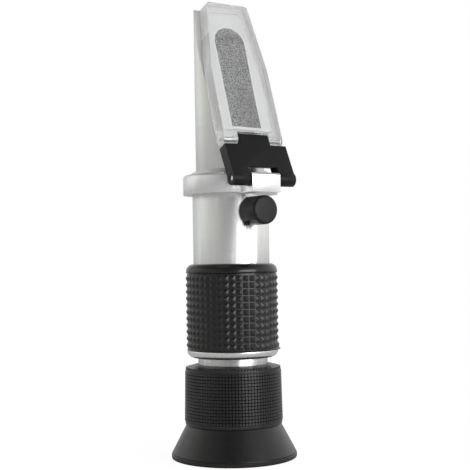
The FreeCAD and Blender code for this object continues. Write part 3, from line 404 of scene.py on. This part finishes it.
def ground_plastic():
    """Finely grained grey window that scatters the daylight."""
    material, shader = finish_of("ground_plastic", (0.25, 0.25, 0.25), 0.0, 0.8)
    grain = noise_of(material, 2800, detail=3)
    crisp = map_range(material.node_tree, GRAIN_LOW, GRAIN_HIGH, 0.0, 1.0)
    material.node_tree.links.new(grain, crisp.inputs["Value"])
    tint(material, shader, crisp.outputs["Result"], (0.0, 0.0, 0.0), (0.66, 0.66, 0.66))
    emboss(material, shader, grain, 0.00006)
    return material


FINISHES = {
    "eyecup_rubber": rubber("eyecup_rubber", 0.004, 0.30, 0.000002, gloss=0.6),
    "grip_rubber": rubber("grip_rubber", 0.005, 0.26, 0.000003, gloss=0.5),
    "cap_rubber": rubber("cap_rubber", 0.011, 0.36, 0.000004, gloss=0.27),
    "ring_rubber": rubber("ring_rubber", 0.007, 0.24, 0.000004),
    "gloss_black": gloss_black(),
    "satin_aluminium": satin_aluminium(),
    "polished_aluminium": polished_aluminium(),
    "chromed_tube": bright_plating(),
    "black_metal": black_paint(),
    "black_aluminium": black_anodised(),
    "pin_steel": turned_steel(),
    "brass": turned_brass(),
    "bimetal": bimetal_strip(),
    "optical_glass": optical_glass(),
    "clear_plastic": clear_acrylic(),
    "ground_plastic": ground_plastic(),
    "seal_black": rubber("seal_rubber", 0.010, 0.35, 0.000005),
}
print(f"{len(FINISHES)} finishes")

# %% Finishes on the CAD pieces
slot_of = {part["node"]: part["material_slot"] for part in frame["record"]["subparts"]}
for name, piece in nodes.items():
    piece.data.materials.clear()
    piece.data.materials.append(FINISHES[slot_of[name]])

# %% [markdown]
# A CAD solid has knife edges, and real parts never do: a turned ring is deburred and a moulded
# plate has small radii, which catch the light as thin bright lines. A CAD mesh is left as it
# is, so each of these pieces gets a copy whose triangles are first merged into clean faces.
# A Bevel modifier then rounds every edge that is sharper than a set angle. Hardened normals
# keep the flat faces flat and let the rounding take the whole change of direction.

# %% Helpers that soften a copy of a CAD piece
MERGE_DISTANCE = 0.002 * MM
FLAT = math.radians(0.4)
SHARP = math.radians(28)


def softened_mesh(name):
    """The CAD piece's triangles, merged and joined into flat faces."""
    form = bmesh.new()
    form.from_mesh(nodes[name].data)
    bmesh.ops.remove_doubles(form, verts=form.verts, dist=MERGE_DISTANCE)
    bmesh.ops.dissolve_limit(form, angle_limit=FLAT, verts=form.verts, edges=form.edges)
    return form


def put_in_scene(form, name, node):
    """Turn a bmesh into a smooth piece that rides with the node's body and stands for it."""
    mesh = bpy.data.meshes.new(name)
    form.to_mesh(mesh)
    form.free()
    mesh.shade_smooth()
    piece = bpy.data.objects.new(name, mesh)
    bpy.context.scene.collection.objects.link(piece)
    mesh.materials.append(FINISHES[slot_of[node]])
    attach(piece, body_of[node])
    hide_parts(node)
    return piece


def round_edges(piece, width):
    """Round the sharp edges of a finished piece by that width."""
    edge = piece.modifiers.new("edges", "BEVEL")
    edge.width = width
    edge.segments = 2
    edge.limit_method = "ANGLE"
    edge.angle_limit = SHARP
    edge.harden_normals = True


# %% Softened copies
# Width of each piece's rounded edges, in millimetres
EDGE_WIDTHS = {
    "hinge_bracket": 0.35, "hinge_collar": 0.22, "focus_housing": 0.12, "grip_ring": 0.12,
    "prism_housing": 0.25, "calibration_cap": 0.25, "hinge_pin": 0.15, "plate_pin": 0.1,
    "daylight_plate": 0.35, "ground_window": 0.12, "main_tube": 0.15, "draw_tube": 0.15,
}
soft_pieces = {}
for name, width in EDGE_WIDTHS.items():
    soft_pieces[name] = put_in_scene(softened_mesh(name), f"{name}_form", name)
    round_edges(soft_pieces[name], width * MM)
print(f"{len(EDGE_WIDTHS)} pieces with soft edges")

# %% The plate's own directions
PLATE_ANGLE = math.radians(18.3)
PLATE_PIN = Vector((0, -13.2, 110.6)) * MM
plate_tilt = Matrix.Translation(PLATE_PIN) @ Matrix.Rotation(math.pi / 2 - PLATE_ANGLE, 4, "X")
print(f"the plate leans back by {math.degrees(PLATE_ANGLE):.1f} degrees")

# %% The plate's matt back and sides
BACK_DEPTH = -2.05
SLANTED = (0.3, 0.9)
SIDEWAYS = 0.9
SIDE_FINISH = 2
BACK_FINISH = 1
plate_front = plate_tilt.to_3x3() @ Vector((0, 0, 1))
daylight = soft_pieces["daylight_plate"].data
daylight.materials.append(frosted_back("frosted_rim", 0.96))
daylight.materials.append(moulded_side())
for face in daylight.polygons:
    depth = (face.center - PLATE_PIN).dot(plate_front)
    backward = -face.normal.dot(plate_front)
    if abs(face.normal.x) > SIDEWAYS:
        face.material_index = SIDE_FINISH
    elif depth < BACK_DEPTH * MM and not SLANTED[0] < backward < SLANTED[1]:
        face.material_index = BACK_FINISH
print(f"the plate has {len(daylight.polygons)} faces in {len(daylight.materials)} finishes")

# %% [markdown]
# Behind the clear plate, a matt white layer surrounds the grained window, and a brighter white line
# runs round the window's edge: a painted highlight where the window's rim catches the light. Both
# lie on the floor of the plate's shallow tray, so they are one thin sheet. Its hole is the window's
# outline, which is drawn a little too large, filled, and inset by the width of the painted
# highlight line. It is made flat and then tilted with the plate.

# %% The matt layer round the window, with a painted highlight at its edge
WINDOW_HALF = 5.95
WINDOW_LOW = 5.15
WINDOW_ROUND = 37.8
ROUND_STEPS = 32
# Width of the painted highlight line round the window, in millimetres
HIGHLIGHT_LINE_WIDTH = 0.5
LAYER_LEVEL = -1.92
LAYER_THICKNESS = 0.2
PAINTED_HIGHLIGHT_INDEX = 1
LAYER_OUTLINE = [(-10.15, 4.0), (10.15, 4.0), (9.8, 26.5), (6.7, 48.8), (6.0, 49.5), (-6.0, 49.5),
                 (-6.7, 48.8), (-9.8, 26.5)]
layer = bmesh.new()
grown = WINDOW_HALF + HIGHLIGHT_LINE_WIDTH
shoulder = layer.verts.new((grown, WINDOW_ROUND, 0))
bmesh.ops.spin(layer, geom=[shoulder], cent=(0, WINDOW_ROUND, 0), axis=(0, 0, 1), dvec=(0, 0, 0),
               angle=math.pi, steps=ROUND_STEPS)
ends = [corner for corner in layer.verts if len(corner.link_edges) == 1]
feet = [layer.verts.new((end.co.x, WINDOW_LOW - HIGHLIGHT_LINE_WIDTH, 0)) for end in ends]
for end, corner in zip(ends, feet):
    layer.edges.new((end, corner))
layer.edges.new(feet)
window_edge = layer.edges[:]
opening = bmesh.ops.contextual_create(layer, geom=window_edge)["faces"]
line = bmesh.ops.inset_region(layer, faces=opening, thickness=HIGHLIGHT_LINE_WIDTH, use_boundary=True,
                              use_even_offset=True)["faces"]
# The inset faces carry the full white of the painted highlight along the window's edge
for face in line:
    face.material_index = PAINTED_HIGHLIGHT_INDEX
bmesh.ops.delete(layer, geom=opening, context="FACES_ONLY")
line_edge = [edge for edge in layer.edges if edge.is_boundary and edge not in window_edge]
corners = [layer.verts.new((x, along, 0)) for x, along in LAYER_OUTLINE]
rim = [layer.edges.new(pair) for pair in zip(corners, corners[1:] + corners[:1])]
bmesh.ops.triangle_fill(layer, edges=rim + line_edge, use_beauty=True, use_dissolve=False)
bmesh.ops.recalc_face_normals(layer, faces=layer.faces)
bmesh.ops.solidify(layer, geom=layer.faces[:], thickness=LAYER_THICKNESS)
bmesh.ops.translate(layer, vec=(0, 0, LAYER_LEVEL), verts=layer.verts)
bmesh.ops.scale(layer, vec=(MM, MM, MM), verts=layer.verts)
bmesh.ops.transform(layer, matrix=plate_tilt, verts=layer.verts)
layer_mesh = bpy.data.meshes.new("plate_layer")
layer.to_mesh(layer_mesh)
layer.free()
plate_layer = bpy.data.objects.new("plate_layer", layer_mesh)
bpy.context.scene.collection.objects.link(plate_layer)
layer_mesh.materials.append(frosted_back("frosted_back", 0.9))
# Full white on the window's edge: a painted highlight, brighter than the matt layer
layer_mesh.materials.append(frosted_back("painted_highlight_edge", 1.0))
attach(plate_layer, body_of["daylight_plate"])
print(f"{len(line)} faces in the bright line, {len(layer_mesh.polygons)} in all")

# %% [markdown]
# The eyecup is one moulding of soft rubber: a flared skirt to look into, and a cylinder whose
# grip band is covered in small raised points. Its section is drawn once and spun round the
# barrel's axis. The number of steps in the spin is the number of points in a row, so each face
# of the grip band is the base of one point, and poking the faces lifts their middles.

# %% The eyecup's section
CUP_POINTS = 96
CUP_BAND_LOW = 13.1
CUP_BAND_ROWS = 16
CUP_BAND_PITCH = 1.11
CUP_WIDEST = 17.2
CUP_WIDEST_HEIGHT = 13.0
CUP_TAPER = 0.4
CUP_TAPER_LENGTH = 18.9


def cup_radius(height):
    """Radius of the cup's cylinder, which tapers a little toward the top."""
    return CUP_WIDEST - (height - CUP_WIDEST_HEIGHT) * CUP_TAPER / CUP_TAPER_LENGTH


# Corners of the section from the rim inward, as radius and height in millimetres
CUP_FOOT = [(20.4, 0.0), (21.8, 0.0), (22.1, 0.12), (22.2, 0.4), (22.2, 1.35), (22.12, 1.5),
            (21.86, 1.62), (21.84, 1.85), (21.9, 1.98), (21.75, 2.26)]
CUP_WAIST = [(17.13, 11.02), (16.98, 11.3), (16.84, 11.6), (16.98, 11.78), (17.14, 12.0),
             (17.2, 12.5)]
CUP_TOP = [(16.84, 31.45), (16.3, 32.03), (15.6, 32.22), (12.6, 33.03), (12.32, 33.0),
           (12.32, 30.92), (14.62, 30.92), (14.62, 13.0), (13.4, 13.0), (13.4, 12.4)]
band = [CUP_BAND_LOW + CUP_BAND_PITCH * row for row in range(CUP_BAND_ROWS + 1)]
CUP_SECTION = CUP_FOOT + CUP_WAIST + [(cup_radius(height), height) for height in band] + CUP_TOP
print(f"{len(CUP_SECTION)} corners in the eyecup's section")


# %% Helpers that spin a closed section and find its faces
def spun(section, steps):
    """A closed ring, made by spinning a section of radius and height round the axis."""
    form = bmesh.new()
    ring = [form.verts.new((radius * MM, 0, height * MM)) for radius, height in section]
    for start, stop in zip(ring, ring[1:] + ring[:1]):
        form.edges.new((start, stop))
    bmesh.ops.spin(form, geom=form.verts[:] + form.edges[:], cent=(0, 0, 0), axis=(0, 0, 1),
                   dvec=(0, 0, 0), angle=2 * math.pi, steps=steps, use_merge=True,
                   use_normal_flip=False, use_duplicate=False)
    bmesh.ops.remove_doubles(form, verts=form.verts, dist=MERGE_DISTANCE)
    bmesh.ops.recalc_face_normals(form, faces=form.faces)
    return form


def faces_between(form, low, high, least_radius):
    """Faces whose middle lies between two heights and outside a radius, all in millimetres."""
    found = []
    for face in form.faces:
        middle = face.calc_center_median()
        if low * MM < middle.z < high * MM and middle.xy.length > least_radius * MM:
            found.append(face)
    return found


# %% Spin the cup and raise its points
CUP_POINT_HEIGHT = 0.2
CUP_POINT_SLOPE = 0.2
EDGE_POINT_HEIGHT = 0.3
EDGE_POINTS_LOW = 31.6
EDGE_POINTS_HIGH = 31.9
CUP_OUTSIDE = 16
cup = spun(CUP_SECTION, CUP_POINTS)
points = faces_between(cup, band[0], band[-1], CUP_OUTSIDE)
bmesh.ops.inset_individual(cup, faces=points, thickness=CUP_POINT_SLOPE * MM,
                           depth=CUP_POINT_HEIGHT * MM)
edge_points = faces_between(cup, EDGE_POINTS_LOW, EDGE_POINTS_HIGH, CUP_OUTSIDE)
bmesh.ops.poke(cup, faces=edge_points, offset=EDGE_POINT_HEIGHT * MM, center_mode="MEAN",
               use_relative_offset=False)
print(f"{len(points)} points on the band and {len(edge_points)} round the top edge")
eyecup = put_in_scene(cup, "eyecup_form", "eyecup")
eyecup.data.set_sharp_from_angle(angle=SHARP)

# %% [markdown]
# The grip sleeve is a thicker rubber tube with rows of square studs. It is spun like the cup,
# and each face of its studded part is inset by a narrow margin and poked into a pyramid. These
# studs are large enough to show their own rounding, so their edges are bevelled as well. Where
# the sleeve ends at the silver ring, its lip has lifted a little on one side, as such sleeves
# do with use.

# %% The grip sleeve
STUD_COLUMNS = 43
STUD_ROWS = 11
STUD_PITCH = 2.35
STUD_HEIGHT = 0.56
STUD_MARGIN = 0.14
STUD_ROOT = 15.9
STUD_LOW = 38.6
STUD_ROUNDING = 0.05
STUD_OUTSIDE = 15.5
STUD_SHARP = math.radians(22)
stud_levels = [(STUD_ROOT, STUD_LOW + STUD_PITCH * row) for row in range(STUD_ROWS + 1)]
SLEEVE_FOOT = [(14.4, 38.02), (16.05, 38.02), (16.2, 38.15)]
SLEEVE_TOP = [(15.9, 64.9), (14.4, 64.9)]
SLEEVE_SECTION = SLEEVE_FOOT + stud_levels + SLEEVE_TOP
sleeve = spun(SLEEVE_SECTION, STUD_COLUMNS)
studs = faces_between(sleeve, STUD_LOW, STUD_LOW + STUD_PITCH * STUD_ROWS, STUD_OUTSIDE)
bmesh.ops.inset_individual(sleeve, faces=studs, thickness=STUD_MARGIN * MM, use_even_offset=True)
raised = bmesh.ops.poke(sleeve, faces=studs, offset=STUD_HEIGHT * MM, center_mode="MEAN",
                        use_relative_offset=False)
stud_edges = list({edge for tip in raised["verts"] for edge in tip.link_edges})
bmesh.ops.bevel(sleeve, geom=stud_edges, offset=STUD_ROUNDING * MM, affect="EDGES", segments=2,
                profile=0.5, material=-1)
print(f"{len(studs)} studs, {len(sleeve.faces)} faces")

# %% The lifted lip
LIP_FOOT = 38.0
LIP_HEIGHT = 3.2
LIP_LIFT = 0.95
LIP_START = 0.6
LIP_OUTSIDE = 15
for corner in sleeve.verts:
    rise = 1 - (corner.co.z / MM - LIP_FOOT) / LIP_HEIGHT
    side = corner.co.xy.normalized().dot(camera_right.xy)
    if rise > 0 and side > LIP_START and corner.co.xy.length > LIP_OUTSIDE * MM:
        push = LIP_LIFT * rise * rise * ((side - LIP_START) / (1 - LIP_START)) ** 1.5
        corner.co += corner.co.xy.normalized().to_3d() * push * MM
grip = put_in_scene(sleeve, "grip_sleeve_form", "grip_sleeve")
grip.data.set_sharp_from_angle(angle=STUD_SHARP)

# %% The floor's finish
FLOOR_GLOW = 1.1
GLOW_SHARE = 0.85
paper_white, paper_shader = finish_of("paper", (0.88, 0.88, 0.88), 0.0, 0.9)
floor_tree = paper_white.node_tree
glow = floor_tree.nodes.new("ShaderNodeEmission")
glow.inputs["Strength"].default_value = FLOOR_GLOW
floor_paths = floor_tree.nodes.new("ShaderNodeLightPath")
floor_mix = floor_tree.nodes.new("ShaderNodeMixShader")
share = floor_tree.nodes.new("ShaderNodeMath")
share.operation = "MULTIPLY"
share.inputs[1].default_value = GLOW_SHARE
floor_tree.links.new(floor_paths.outputs["Is Camera Ray"], share.inputs[0])
floor_tree.links.new(share.outputs[0], floor_mix.inputs["Fac"])
floor_tree.links.new(paper_shader.outputs[0], floor_mix.inputs[1])
floor_tree.links.new(glow.outputs[0], floor_mix.inputs[2])
floor_tree.links.new(floor_mix.outputs[0], floor_tree.nodes["Material Output"].inputs["Surface"])
floor.data.materials.append(paper_white)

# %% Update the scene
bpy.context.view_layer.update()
